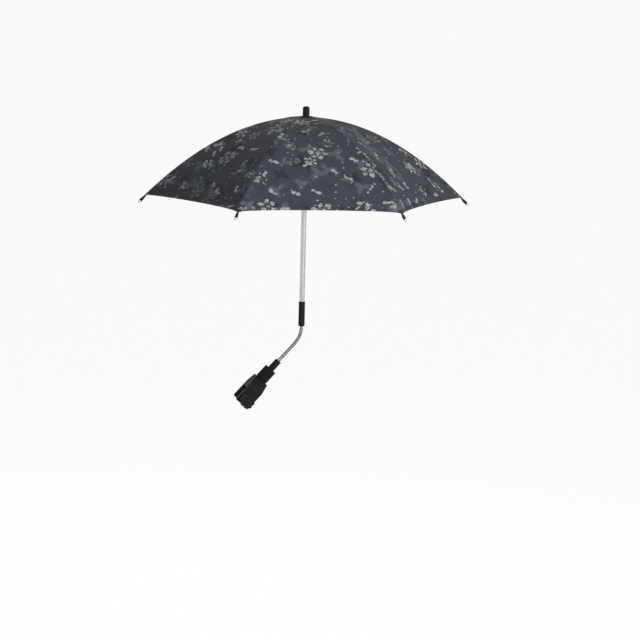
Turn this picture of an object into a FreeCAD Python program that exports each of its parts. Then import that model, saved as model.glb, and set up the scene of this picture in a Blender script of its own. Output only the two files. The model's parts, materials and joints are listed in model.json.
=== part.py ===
import FreeCAD, Part
import math
import os

from FreeCAD import Placement, Rotation, Vector

# Pram parasol on a flexible arm and a tube clamp. Millimetres and degrees.
# The origin is the centre of the clamped tube. +Z is up, the stem leans towards +X,
# and the clamp's screw points along Y. Rib 1 points along +X.

# Canopy cloth
rib_count = 6
canopy_radius = 336.0        # pole axis to a cloth corner
canopy_rise = 168.0          # cloth corner to the top of the cloth
cloth_thickness = 0.6
hem_scallop = 5.5            # how far the middle of each hem is drawn in
soft_clearance = 0.3         # between cloth and what it lies on

# Ribs and their tips
rib_width = 3.0
rib_height = 3.2
rib_wall = 0.5
rib_root_reach = 26.0        # pole axis to the end of the flattened root
rib_root_overlap = 6.0       # flattened root carried on inside the channel
rib_pivot_reach = 150.0      # pole axis to the stretcher's rivet
tip_length = 14.0
tip_radius = 3.0
tip_ball_radius = 3.2
tip_socket = 5.0
tip_pin_radius = 0.8

# Hinges of crown and runner
hinge_radius = 10.0          # pole axis to the hinge wire
eye_radius = 2.0
lug_width = 2.0
hub_radius = 7.5             # of crown and runner, inside the eyes
slot_clearance = 0.2         # each side of a lug in its slot
tooth_margin = 1.5           # crown and runner past the eyes
wire_radius = 0.6
wire_clearance = 0.2         # eye hole round the hinge wire
fit_clearance = 0.05         # radial, between fitted round pieces
slide_clearance = 0.1        # radial, runner on pole

# Crown, cap and ferrule
crown_skirt = 8.0            # hub below the hinge wire
crown_tooth_drop = 3.2
cap_radius = 14.0
cap_thickness = 2.0
ferrule_radius = 7.1
ferrule_height = 20.5
ferrule_bore_depth = 14.0
ferrule_groove_depth = 0.6
ferrule_groove_width = 1.2

# Runner and stretchers
runner_open_drop = 128.0     # crown wire to runner wire when open
runner_length = 26.0         # below the runner wire
runner_tooth_height = 3.0    # each side of the runner wire
stretcher_wall = 0.6
stretcher_height = 3.4
stretcher_side_gap = 0.2     # between stretcher ears and rib
stretcher_ear_radius = 1.8
stretcher_web_start = 6.0
stretcher_lug_length = 20.0
stretcher_lug_overlap = 6.0
rivet_radius = 0.8
rivet_head_radius = 1.4
rivet_head_height = 0.5
rivet_head_gap = 0.1

# Spring catch in the pole
catch_reach = 2.6
catch_height = 12.0
catch_tail = 6.0
catch_width = 1.8
catch_wall = 0.8
catch_lip = 1.6

# Pole and sleeve
pole_radius = 5.6
pole_wall = 0.8
pole_length = 428.0
pole_insert = 24.0
sleeve_radius = 6.6
sleeve_length = 52.0
sleeve_chamfer = 0.8

# Gooseneck, a ribbed hose in short links that turn on ball faces
hose_radius = 3.6
hose_bore_radius = 1.8
hose_rib_depth = 0.6
hose_insert = 20.0
hose_root_exposed = 2.0      # stem ferrule to the first joint
hose_tip_exposed = 8.0       # last joint to the sleeve
link_count = 7
link_pitch = 11.5
link_ribs = 4
ball_radius = 5.0
ball_clearance = 0.2
neck_bend_shares = (0, 0, 0, 0, 0.1, 0.35, 0.7)   # of the turn from the stem to upright
rib_place_shares = (0.45, 0.6, 0.85, 1.0)         # of one hose rib's pitch
rib_depth_shares = (0, 1, 1, 0)                   # of the groove's depth at those places

# Stem, collar nut and clamp
stem_angle = 48.0            # stem above the horizontal, degrees
stem_reach = 104.0           # tube centre to the mouth of the stem ferrule
stem_neck_radius = 7.0
stem_spigot_radius = 6.0
stem_spigot_length = 24.0
stem_flange_radius = 8.8
stem_flange_height = 4.0
nut_radius = 13.5
nut_length = 30.0
nut_flute_count = 16
nut_flute_radius = 1.2
nut_end_margin = 3.0
boss_radius = 10.0
boss_height = 16.0
body_reach = 50.0            # tube centre to the foot of the boss
tube_radius = 16.0
tube_headroom = 2.0
jaw_width = 33.0
jaw_arm = 8.0
screw_arm = 9.0
arm_drop = 14.0
body_round = 4.0
edge_round = 1.5
body_top_margin = 3.0        # flat round the boss
shoulder_share = 0.35        # of the body's height over the roof of the mouth
pad_thickness = 3.0
pad_half_height = 13.0
pad_lip = 0.8
pad_inset = 1.0
shoe_thickness = 5.0
shoe_retract = 4.0
shoe_advance = 12.0
insert_radius = 6.0
screw_radius = 4.0
screw_nose_radius = 3.0
screw_nose_length = 3.0
knob_radius = 15.0
knob_thickness = 13.0
knob_standoff = 2.0
knob_hub_radius = 8.0
knob_bore_depth = 9.0
knob_lobes = 8
knob_flute_radius = 4.5
knob_flute_depth = 2.2

# Cuts run past the faces that they open by this much
overrun = 2.0

full_turn = 360.0
right_angle = 90.0

# Places that follow from the sizes
rib_step = full_turn / rib_count
half_step = rib_step / 2
apothem = canopy_radius * math.cos(math.radians(half_step))
crease_fall = canopy_rise / apothem * 2 * math.sin(math.radians(half_step))
rib_drop = cloth_thickness + soft_clearance + rib_width / 2 * crease_fall
pole_foot = sleeve_length - pole_insert
pole_top = pole_foot + pole_length
ferrule_foot = pole_top - ferrule_bore_depth
apex_height = ferrule_foot - cap_thickness - soft_clearance
tooth_radius = hinge_radius + eye_radius + tooth_margin
slot_root = hinge_radius - eye_radius - soft_clearance
slot_width = lug_width + 2 * slot_clearance
boss_top = body_reach + boss_height
flange_top = boss_top + stem_flange_height
near_shoe_face = -(tube_radius + pad_thickness + shoe_thickness)
near_arm_inside = near_shoe_face - shoe_retract - soft_clearance
near_arm_outside = near_arm_inside - screw_arm
far_arm_inside = tube_radius + pad_thickness
far_arm_outside = far_arm_inside + jaw_arm
mouth_roof = tube_radius + tube_headroom
knob_face = near_arm_outside - shoe_advance - knob_standoff


def arch_height(distance, reach):
    """Height of the cloth's outer face, a parabola that falls by the rise at the reach."""
    return apex_height - canopy_rise * (distance / reach) ** 2


def rib_middle(distance):
    """Height of a rib's middle line."""
    return arch_height(distance, canopy_radius) - rib_drop - rib_height / 2


crown_hinge = Vector(hinge_radius, 0, rib_middle(hinge_radius))
rib_pivot = Vector(rib_pivot_reach, 0, rib_middle(rib_pivot_reach))
runner_hinge = Vector(hinge_radius, 0, crown_hinge.z - runner_open_drop)
runner_foot = runner_hinge.z - runner_length
catch_top = runner_foot - soft_clearance


def lean(angle):
    """Turn about Y that lays +Z at this angle above +X."""
    return Rotation(Vector(0, 1, 0), right_angle - angle)


def heading(angle):
    """Unit direction at this angle above +X."""
    return Vector(math.cos(math.radians(angle)), 0, math.sin(math.radians(angle)))


def neck_directions():
    """Angle of each gooseneck piece above the horizontal: root, links, tip."""
    turn = right_angle - stem_angle
    links = [stem_angle + turn * share for share in neck_bend_shares[:link_count]]
    return [stem_angle] + links + [right_angle]


def neck_joints():
    """Centre of each gooseneck joint, from the stem to the pole."""
    angles = neck_directions()
    places = [heading(stem_angle) * (stem_reach + hose_root_exposed)]
    for angle in angles[1:-1]:
        places.append(places[-1] + heading(angle) * link_pitch)
    return places


pole_base = neck_joints()[-1] + Vector(0, 0, hose_tip_exposed)


def lathe(outline):
    """Solid turned about Z from (radius, height) points. Four values give an arc's middle too."""
    edges = []
    for here, there in zip(outline, outline[1:] + outline[:1]):
        start = Vector(here[0], 0, here[1])
        end = Vector(there[0], 0, there[1])
        if len(there) == 4:
            middle = Vector(there[2], 0, there[3])
            edges.append(Part.Arc(start, middle, end).toShape())
        else:
            edges.append(Part.makeLine(start, end))
    face = Part.Face(Part.Wire(edges))
    return face.revolve(Vector(0, 0, 0), Vector(0, 0, 1), full_turn)


def upright_rod(radius, low, high):
    """Cylinder on the Z axis between two heights."""
    return Part.makeCylinder(radius, high - low, Vector(0, 0, low))


def cross_rod(radius, width, place):
    """Cylinder along Y, centred on a place."""
    start = place - Vector(0, width / 2, 0)
    return Part.makeCylinder(radius, width, start, Vector(0, 1, 0))


def block(low, high):
    """Box between two corners."""
    size = high - low
    return Part.makeBox(size.x, size.y, size.z, low)


def around(shape, index, count):
    """Copy of a shape, turned to its place in a ring about Z."""
    copy = shape.copy()
    copy.rotate(Vector(0, 0, 0), Vector(0, 0, 1), full_turn / count * index)
    return copy


def arch_edge(start, end, reach, drop):
    """Piece of the cloth's parabola in the XZ plane, lowered by a drop."""
    first = Vector(start, 0, arch_height(start, reach) - drop)
    last = Vector(end, 0, arch_height(end, reach) - drop)
    middle = (start + end) / 2
    slope = -2 * canopy_rise * start / reach ** 2
    control = Vector(middle, 0, first.z + slope * (middle - start))
    curve = Part.BezierCurve()
    curve.setPoles([first, control, last])
    return curve.toShape(), first, last


def arch_bar(start, end, reach, top_drop, foot_drop, width):
    """Bar between two lowered parabolas, as wide as given along Y."""
    top, top_start, top_end = arch_edge(start, end, reach, top_drop)
    foot, foot_start, foot_end = arch_edge(start, end, reach, foot_drop)
    sides = [Part.makeLine(top_end, foot_end), Part.makeLine(foot_start, top_start)]
    face = Part.Face(Part.Wire(Part.__sortEdges__([top, foot] + sides)))
    bar = face.extrude(Vector(0, width, 0))
    bar.translate(Vector(0, -width / 2, 0))
    return bar


def make_gore():
    """Cloth on both sides of the rib along +X, out to the middles of its two panels."""
    panel = arch_bar(0, canopy_radius, apothem, 0, cloth_thickness, 2 * canopy_radius)
    panel.rotate(Vector(0, 0, 0), Vector(0, 0, 1), half_step)
    toward_middle = Rotation(Vector(0, 0, 1), half_step)
    corner = Vector(canopy_radius, 0, 0)
    far_corner = Rotation(Vector(0, 0, 1), rib_step).multVec(corner)
    hem_middle = toward_middle.multVec(Vector(apothem - hem_scallop, 0, 0))
    hem = Part.Arc(corner, hem_middle, far_corner).toShape()
    spokes = [Part.makeLine(Vector(0, 0, 0), corner), Part.makeLine(far_corner, Vector(0, 0, 0))]
    plan = Part.Face(Part.Wire([spokes[0], hem, spokes[1]]))
    column = plan.extrude(Vector(0, 0, canopy_rise + 2 * overrun))
    column.translate(Vector(0, 0, apex_height - canopy_rise - overrun))
    whole = panel.common(column)
    low = Vector(-overrun, -soft_clearance / 2, apex_height - canopy_rise - overrun)
    high = Vector(canopy_radius, canopy_radius, apex_height + overrun)
    beyond = block(low, high)
    beyond.rotate(Vector(0, 0, 0), Vector(0, 0, 1), half_step)
    half = whole.cut(beyond)
    other = half.mirror(Vector(0, 0, 0), Vector(0, 1, 0))
    gore = half.fuse(other)
    hole = upright_rod(pole_radius + soft_clearance, low.z, high.z)
    return gore.cut(hole).removeSplitter()


def make_rib():
    """Channel-section rib along +X, flat at the root and at the tip, with its eye and pin."""
    foot_drop = rib_drop + rib_height
    channel_width = rib_width - 2 * rib_wall
    root_end = rib_root_reach + rib_root_overlap
    heel_start = canopy_radius - tip_socket
    rib = arch_bar(rib_root_reach, canopy_radius, canopy_radius, rib_drop, foot_drop, rib_width)
    groove = arch_bar(rib_root_reach - overrun, canopy_radius + overrun, canopy_radius,
                      rib_drop + rib_wall, foot_drop + overrun, channel_width)
    root = arch_bar(hinge_radius, root_end, canopy_radius, rib_drop, foot_drop, lug_width)
    heel = arch_bar(heel_start, canopy_radius, canopy_radius, rib_drop, foot_drop, lug_width)
    eye = cross_rod(eye_radius, lug_width, crown_hinge)
    tangent, place = tip_axis()
    back = rib_height
    pin = Part.makeCylinder(tip_pin_radius, back + tip_socket, place - tangent * back, tangent)
    rib = rib.cut(groove).multiFuse([root, heel, eye, pin])
    wire_hole = cross_rod(wire_radius + wire_clearance, rib_width + overrun, crown_hinge)
    rivet_hole = cross_rod(rivet_radius + fit_clearance, rib_width + overrun, rib_pivot)
    return rib.cut(wire_hole).cut(rivet_hole).removeSplitter()


def tip_axis():
    """Direction of a rib's tip, and where its cap starts, just past the rib's end."""
    tangent = Vector(1, 0, -2 * canopy_rise / canopy_radius).normalize()
    past = fit_clearance - rib_height / 2 * tangent.z
    return tangent, Vector(canopy_radius, 0, rib_middle(canopy_radius)) + tangent * past


def make_rib_tip():
    """Cap over the pin at the end of the rib along +X, with a ball at its end."""
    neck_end = tip_length - tip_ball_radius
    joint = neck_end - math.sqrt(tip_ball_radius ** 2 - tip_radius ** 2)
    bore = tip_pin_radius + fit_clearance
    outline = [(bore, 0), (tip_radius, 0), (tip_radius, joint),
               (0, tip_length, tip_ball_radius, neck_end), (0, tip_socket), (bore, tip_socket)]
    tip = lathe(outline)
    tangent, place = tip_axis()
    tip.Placement = Placement(place, Rotation(Vector(0, 0, 1), tangent))
    return tip


def make_rivet():
    """Headed rivet through the rib along +X and the stretcher's two ears."""
    half = rib_width / 2 + stretcher_side_gap + stretcher_wall + rivet_head_gap
    shank = cross_rod(rivet_radius, 2 * (half + rivet_head_height), rib_pivot)
    heads = []
    for side in (-1, 1):
        place = rib_pivot + Vector(0, side * (half + rivet_head_height / 2), 0)
        heads.append(cross_rod(rivet_head_radius, rivet_head_height, place))
    return shank.multiFuse(heads).removeSplitter()


def make_stretcher():
    """Strut from the rivet of the rib along +X down to the runner, open away from the pole."""
    run = runner_hinge - rib_pivot
    length = run.Length
    inside = rib_width / 2 + stretcher_side_gap
    outside = inside + stretcher_wall
    half_height = stretcher_height / 2
    channel_end = length - stretcher_lug_length + stretcher_lug_overlap
    lug_start = length - stretcher_lug_length
    pieces = []
    for side in (-1, 1):
        centre = Vector(0, side * (inside + outside) / 2, 0)
        ear = cross_rod(stretcher_ear_radius, stretcher_wall, centre)
        low = Vector(0, min(side * inside, side * outside), -half_height)
        high = Vector(channel_end, max(side * inside, side * outside), half_height)
        pieces.append(ear.fuse(block(low, high)))
    web_low = Vector(stretcher_web_start, -outside, -half_height)
    web_high = Vector(channel_end, outside, -half_height + stretcher_wall)
    pieces.append(block(web_low, web_high))
    filler_low = Vector(lug_start, -inside, -half_height)
    filler_high = Vector(channel_end, inside, half_height)
    pieces.append(block(filler_low, filler_high))
    lug_low = Vector(lug_start, -lug_width / 2, -half_height)
    lug_high = Vector(length, lug_width / 2, half_height)
    pieces.append(block(lug_low, lug_high))
    foot = Vector(length, 0, 0)
    pieces.append(cross_rod(eye_radius, lug_width, foot))
    stretcher = pieces[0].multiFuse(pieces[1:])
    stretcher = stretcher.cut(cross_rod(wire_radius + wire_clearance, 2 * outside, foot))
    rivet_hole = cross_rod(rivet_radius + fit_clearance, 2 * outside + overrun, Vector(0, 0, 0))
    stretcher = stretcher.cut(rivet_hole).removeSplitter()
    turn = math.degrees(math.atan2(-run.z, run.x))
    stretcher.Placement = Placement(rib_pivot, Rotation(Vector(0, 1, 0), turn))
    return stretcher


def toothed_ring(hub, tooth_low, tooth_high, wire_height):
    """Hub with a ring of teeth, slots for the lugs and a groove for the hinge wire."""
    shape = hub.fuse(upright_rod(tooth_radius, tooth_low, tooth_high))
    slot = block(Vector(slot_root, -slot_width / 2, tooth_low - overrun),
                 Vector(tooth_radius + overrun, slot_width / 2, tooth_high + overrun))
    shape = shape.cut([around(slot, index, rib_count) for index in range(rib_count)])
    reach = wire_radius + fit_clearance
    groove = upright_rod(tooth_radius + overrun, wire_height - reach, wire_height + reach)
    groove = groove.cut(upright_rod(hinge_radius - reach, wire_height - reach, wire_height + reach))
    return shape.cut(groove)


def make_crown():
    """Hub on the pole that the ribs hinge on."""
    low = crown_hinge.z - crown_skirt
    high = crown_hinge.z + eye_radius
    hub = upright_rod(hub_radius, low, high)
    crown = toothed_ring(hub, crown_hinge.z - crown_tooth_drop, high, crown_hinge.z)
    bore = upright_rod(pole_radius + fit_clearance, low - overrun, high + overrun)
    return crown.cut(bore).removeSplitter()


def make_hinge_wire(height):
    """Round wire ring that a set of lugs turns on."""
    return Part.makeTorus(hinge_radius, wire_radius, Vector(0, 0, height))


def make_runner():
    """Sliding sleeve that pushes the stretchers up."""
    low = runner_foot
    high = runner_hinge.z + runner_tooth_height
    hub = upright_rod(hub_radius, low, high)
    runner = toothed_ring(hub, runner_hinge.z - runner_tooth_height, high, runner_hinge.z)
    bore = upright_rod(pole_radius + slide_clearance, low - overrun, high + overrun)
    return runner.cut(bore).removeSplitter()


def make_canopy_cap():
    """Low domed cap over the hole in the cloth."""
    foot = apex_height + soft_clearance
    rim = cap_thickness / 2
    bore = pole_radius + fit_clearance
    outline = [(bore, foot), (cap_radius, foot), (cap_radius, foot + rim),
               (ferrule_radius, foot + cap_thickness), (bore, foot + cap_thickness)]
    return lathe(outline)


def make_ferrule():
    """Turned end piece on top of the pole."""
    bore = pole_radius + fit_clearance
    top = ferrule_foot + ferrule_height
    round_start = top - ferrule_radius / 2
    groove_top = round_start - ferrule_groove_width
    groove_low = groove_top - ferrule_groove_width
    neck = ferrule_radius - ferrule_groove_depth
    shoulder = ferrule_radius * math.cos(math.radians(right_angle / 2))
    shoulder_height = round_start + (top - round_start) * math.sin(math.radians(right_angle / 2))
    outline = [(bore, ferrule_foot), (ferrule_radius, ferrule_foot), (ferrule_radius, groove_low),
               (neck, groove_low), (neck, groove_top), (ferrule_radius, groove_top),
               (ferrule_radius, round_start), (shoulder, shoulder_height),
               (0, top), (0, pole_top), (bore, pole_top)]
    return lathe(outline)


def make_catch():
    """Leaf spring, a bent strip whose nose stands out of the pole under the runner, to -Y."""
    nose = -(pole_radius + catch_reach)
    tail = -(pole_radius - pole_wall - soft_clearance)
    lip = catch_top - catch_lip
    knee = catch_top - catch_height
    foot = knee - catch_tail
    inner = catch_top - catch_wall
    spots = [(0, catch_top), (nose, catch_top), (nose, lip), (tail, knee), (tail, foot),
             (tail + catch_wall, foot), (tail + catch_wall, knee),
             (nose + catch_wall, lip), (nose + catch_wall, inner), (0, inner)]
    points = [Vector(-catch_width / 2, y, z) for y, z in spots]
    face = Part.Face(Part.makePolygon(points + points[:1]))
    return face.extrude(Vector(catch_width, 0, 0))


def make_pole():
    """Round tube with the slot that the catch comes out of."""
    pole = upright_rod(pole_radius, pole_foot, pole_top)
    pole = pole.cut(upright_rod(pole_radius - pole_wall, pole_foot - overrun, pole_top + overrun))
    reach = catch_width / 2 + slot_clearance
    low = Vector(-reach, -pole_radius - overrun, catch_top - catch_height)
    high = Vector(reach, 0, catch_top + slot_clearance)
    return pole.cut(block(low, high))


def make_sleeve():
    """Plastic sleeve that joins the gooseneck and the pole."""
    hose_bore = hose_radius + fit_clearance
    pole_bore = pole_radius + fit_clearance
    inset = sleeve_radius - sleeve_chamfer
    high = sleeve_length - sleeve_chamfer
    outline = [(0, hose_insert), (hose_bore, hose_insert), (hose_bore, 0), (inset, 0),
               (sleeve_radius, sleeve_chamfer), (sleeve_radius, high), (inset, sleeve_length),
               (pole_bore, sleeve_length), (pole_bore, pole_foot), (0, pole_foot)]
    return lathe(outline)


def hose_ribs(low, high, count):
    """Outline points of a run of hose ribs between two heights."""
    points = [(hose_radius, low)]
    pitch = (high - low) / count
    for index in range(count):
        for place, depth in zip(rib_place_shares, rib_depth_shares):
            points.append((hose_radius - hose_rib_depth * depth, low + pitch * (index + place)))
    return points


def ball_edge(radius, reach, centre):
    """Height of a ball face at a distance from the axis."""
    return centre + math.sqrt(reach ** 2 - radius ** 2)


def ball_arc(start, end, reach, centre):
    """Outline point at the end radius, reached along a ball face from the start radius."""
    middle = (start + end) / 2
    return (end, ball_edge(end, reach, centre), middle, ball_edge(middle, reach, centre))


def make_hose_root():
    """Hose end in the stem ferrule, up to the first ball face. The joint is at the origin."""
    foot = -(hose_root_exposed + hose_insert)
    rim = ball_edge(hose_radius, ball_radius, 0)
    ribs = hose_ribs(-hose_root_exposed, rim, link_ribs // 2)
    end = ball_arc(hose_radius, hose_bore_radius, ball_radius, 0)
    return lathe([(hose_bore_radius, foot), (hose_radius, foot)] + ribs + [end])


def make_hose_link():
    """One link, from a hollow ball face at the origin to a full one a pitch above."""
    socket = ball_radius + ball_clearance
    low = ball_edge(hose_radius, socket, 0)
    high = ball_edge(hose_radius, ball_radius, link_pitch)
    ribs = hose_ribs(low, high, link_ribs)
    start = (hose_bore_radius, ball_edge(hose_bore_radius, socket, 0))
    ribs[0] = ball_arc(hose_bore_radius, hose_radius, socket, 0)
    end = ball_arc(hose_radius, hose_bore_radius, ball_radius, link_pitch)
    return lathe([start] + ribs + [end])


def make_hose_tip():
    """Hose end from the last hollow ball face into the sleeve. The joint is at the origin."""
    socket = ball_radius + ball_clearance
    low = ball_edge(hose_radius, socket, 0)
    ribs = hose_ribs(low, hose_tip_exposed, link_ribs // 2)
    top = hose_tip_exposed + hose_insert
    start = (hose_bore_radius, ball_edge(hose_bore_radius, socket, 0))
    ribs[0] = ball_arc(hose_bore_radius, hose_radius, socket, 0)
    return lathe([start] + ribs + [(hose_radius, top), (hose_bore_radius, top)])


def make_stem_ferrule():
    """Stem that turns in the clamp and holds the hose. It stands on the Z axis."""
    foot = boss_top - stem_spigot_length
    bore = hose_radius + fit_clearance
    bottom = stem_reach - hose_insert
    inset = stem_neck_radius - sleeve_chamfer
    outline = [(0, foot), (stem_spigot_radius, foot), (stem_spigot_radius, boss_top),
               (stem_flange_radius, boss_top), (stem_flange_radius, flange_top),
               (stem_neck_radius, flange_top), (stem_neck_radius, stem_reach - sleeve_chamfer),
               (inset, stem_reach), (bore, stem_reach), (bore, bottom), (0, bottom)]
    return lathe(outline)


def make_stem_nut():
    """Fluted collar nut over the clamp's boss and the stem's flange, on the Z axis."""
    foot = body_reach + soft_clearance
    top = foot + nut_length
    cavity = boss_radius + soft_clearance
    roof = flange_top + soft_clearance
    bore = stem_neck_radius + soft_clearance
    inset = nut_radius - edge_round
    outline = [(cavity, foot), (inset, foot), (nut_radius, foot + edge_round),
               (nut_radius, top - edge_round), (inset, top), (bore, top), (bore, roof), (cavity, roof)]
    nut = lathe(outline)
    flute = upright_rod(nut_flute_radius, foot + nut_end_margin, top - nut_end_margin)
    flute.translate(Vector(nut_radius, 0, 0))
    return nut.cut([around(flute, index, nut_flute_count) for index in range(nut_flute_count)])


def body_outline():
    """Points of the clamp body's section in the YZ plane."""
    shoulder = mouth_roof + (body_reach - mouth_roof) * shoulder_share
    top = boss_radius + body_top_margin
    return [(near_arm_outside, -arm_drop), (near_arm_outside, shoulder), (-top, body_reach),
            (top, body_reach), (far_arm_outside, shoulder), (far_arm_outside, -arm_drop),
            (far_arm_inside, -arm_drop), (far_arm_inside, mouth_roof),
            (near_arm_inside, mouth_roof), (near_arm_inside, -arm_drop)]


def make_clamp_body():
    """Jaw that straddles the tube, with the boss for the stem on top. The tube lies along X."""
    points = [Vector(-jaw_width / 2, y, z) for y, z in body_outline()]
    face = Part.Face(Part.makePolygon(points + points[:1]))
    body = face.extrude(Vector(jaw_width, 0, 0))
    corners = [edge for edge in body.Edges if is_outer_corner(edge)]
    body = body.makeFillet(body_round, corners)
    rims = [edge for edge in body.Edges if is_outer_rim(edge)]
    body = body.makeFillet(edge_round, rims)
    body = body.fuse(upright_rod(boss_radius, mouth_roof + body_round, boss_top))
    socket_foot = boss_top - stem_spigot_length
    body = body.cut(upright_rod(stem_spigot_radius + fit_clearance, socket_foot, boss_top + overrun))
    hole = Part.makeCylinder(insert_radius + fit_clearance, screw_arm + 2 * overrun,
                             Vector(0, near_arm_outside - overrun, 0), Vector(0, 1, 0))
    return body.cut(hole).removeSplitter()


def is_outer_corner(edge):
    """True for the body's long corners that run along X on its outside."""
    box = edge.BoundBox
    outside = box.YMin < near_arm_inside - soft_clearance or box.YMax > far_arm_inside + soft_clearance
    return box.XLength > jaw_width / 2 and (outside or box.ZMin > mouth_roof + soft_clearance)


def is_outer_rim(edge):
    """True for edges of the body's two flat sides that lie on its outer outline."""
    box = edge.BoundBox
    flat = box.XLength < soft_clearance and abs(abs(box.XMin) - jaw_width / 2) < soft_clearance
    middle = edge.valueAt((edge.FirstParameter + edge.LastParameter) / 2)
    inside = near_arm_inside - soft_clearance < middle.y < far_arm_inside + soft_clearance
    return flat and not (inside and middle.z < mouth_roof + soft_clearance)


def make_jaw_pad():
    """Rubber pad on the fixed arm, hollowed to the tube."""
    lip = math.sqrt(tube_radius ** 2 - pad_half_height ** 2) + pad_lip
    half = jaw_width / 2 - pad_inset
    pad = block(Vector(-half, lip, -pad_half_height), Vector(half, far_arm_inside, pad_half_height))
    return pad.cut(tube_core())


def tube_core():
    """The clamped tube's room along X."""
    start = Vector(-jaw_width, 0, 0)
    return Part.makeCylinder(tube_radius, 2 * jaw_width, start, Vector(1, 0, 0))


def make_shoe_pad():
    """Rubber pad on the pressure shoe, the mirror of the fixed one."""
    lip = math.sqrt(tube_radius ** 2 - pad_half_height ** 2) + pad_lip
    half = jaw_width / 2 - pad_inset
    back = tube_radius + pad_thickness
    pad = block(Vector(-half, -back, -pad_half_height), Vector(half, -lip, pad_half_height))
    return pad.cut(tube_core())


def make_pressure_shoe():
    """Plate that the screw's nose pushes against the tube."""
    half = jaw_width / 2 - pad_inset
    back = tube_radius + pad_thickness
    shoe = block(Vector(-half, near_shoe_face, -pad_half_height), Vector(half, -back, pad_half_height))
    upright = [edge for edge in shoe.Edges if edge.BoundBox.YLength > shoe_thickness / 2]
    shoe = shoe.makeFillet(edge_round, upright)
    socket = Part.makeCylinder(screw_nose_radius + fit_clearance, screw_nose_length + overrun,
                               Vector(0, near_shoe_face - overrun, 0), Vector(0, 1, 0))
    return shoe.cut(socket)


def make_thread_insert():
    """Brass sleeve in the near arm that the screw runs in."""
    start = Vector(0, near_arm_outside, 0)
    insert = Part.makeCylinder(insert_radius, screw_arm, start, Vector(0, 1, 0))
    bore = Part.makeCylinder(screw_radius + fit_clearance, screw_arm + 2 * overrun,
                             start - Vector(0, overrun, 0), Vector(0, 1, 0))
    return insert.cut(bore)


def make_clamp_screw():
    """Screw from the knob to the shoe's socket."""
    tail = knob_face - knob_bore_depth
    shank_end = near_shoe_face - fit_clearance
    nose_end = near_shoe_face + screw_nose_length - fit_clearance
    shank = Part.makeCylinder(screw_radius, shank_end - tail, Vector(0, tail, 0), Vector(0, 1, 0))
    nose = Part.makeCylinder(screw_nose_radius, nose_end - tail, Vector(0, tail, 0), Vector(0, 1, 0))
    return shank.fuse(nose).removeSplitter()


def make_clamp_knob():
    """Lobed hand knob with a short hub towards the clamp."""
    back = knob_face - knob_thickness
    knob = Part.makeCylinder(knob_radius, knob_thickness, Vector(0, back, 0), Vector(0, 1, 0))
    knob = knob.makeFillet(edge_round, [edge for edge in knob.Edges if edge.BoundBox.YLength < edge_round])
    place = Vector(knob_radius + knob_flute_radius - knob_flute_depth, back - overrun, 0)
    flute = Part.makeCylinder(knob_flute_radius, knob_thickness + 2 * overrun, place, Vector(0, 1, 0))
    flutes = []
    for index in range(knob_lobes):
        copy = flute.copy()
        copy.rotate(Vector(0, 0, 0), Vector(0, 1, 0), full_turn / knob_lobes * index)
        flutes.append(copy)
    knob = knob.cut(flutes)
    hub_length = knob_standoff / 2
    hub = Part.makeCylinder(knob_hub_radius, hub_length + knob_standoff,
                            Vector(0, knob_face - knob_standoff, 0), Vector(0, 1, 0))
    bore = Part.makeCylinder(screw_radius + fit_clearance, knob_bore_depth + overrun,
                             Vector(0, knob_face - knob_bore_depth, 0), Vector(0, 1, 0))
    return knob.fuse(hub).cut(bore).removeSplitter()


def canopy_pieces():
    """Pieces on the pole's own axis, with its foot at the sleeve's foot."""
    pieces = {
        "pole_sleeve": make_sleeve(),
        "pole": make_pole(),
        "crown": make_crown(),
        "crown_wire": make_hinge_wire(crown_hinge.z),
        "canopy_cap": make_canopy_cap(),
        "ferrule": make_ferrule(),
        "runner": make_runner(),
        "runner_wire": make_hinge_wire(runner_hinge.z),
        "runner_catch": make_catch(),
    }
    arms = {
        "rib": make_rib(),
        "rib_tip": make_rib_tip(),
        "stretcher": make_stretcher(),
        "stretcher_rivet": make_rivet(),
        "canopy_gore": make_gore(),
    }
    for name, shape in arms.items():
        for index in range(rib_count):
            pieces[f"{name}_{index + 1}"] = around(shape, index, rib_count)
    for shape in pieces.values():
        shape.translate(pole_base)
    return pieces


def gooseneck_pieces():
    """Hose end in the stem, the links, and the hose end in the sleeve."""
    angles = neck_directions()
    places = neck_joints()
    pieces = {"gooseneck_root": make_hose_root()}
    for index in range(link_count):
        pieces[f"gooseneck_link_{index + 1}"] = make_hose_link()
    pieces["gooseneck_tip"] = make_hose_tip()
    spots = places[:1] + places
    for shape, angle, spot in zip(pieces.values(), angles, spots):
        shape.Placement = Placement(spot, lean(angle))
    return pieces


def clamp_pieces():
    """Pieces built with the stem upright and the tube along X, then leaned over."""
    pieces = {
        "clamp_body": make_clamp_body(),
        "jaw_pad": make_jaw_pad(),
        "thread_insert": make_thread_insert(),
        "pressure_shoe": make_pressure_shoe(),
        "shoe_pad": make_shoe_pad(),
        "clamp_screw": make_clamp_screw(),
        "clamp_knob": make_clamp_knob(),
        "stem_ferrule": make_stem_ferrule(),
        "stem_nut": make_stem_nut(),
    }
    for shape in pieces.values():
        shape.rotate(Vector(0, 0, 0), Vector(0, 1, 0), right_angle - stem_angle)
    return pieces


def main():
    os.makedirs("parts", exist_ok=True)
    pieces = {**clamp_pieces(), **gooseneck_pieces(), **canopy_pieces()}
    for name, shape in pieces.items():
        shape.exportStep(f"parts/{name}.step")


if __name__ == "__main__":
    main()
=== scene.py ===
import json
import math

import bpy
import numpy as np
from mathutils import Matrix, Vector


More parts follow.
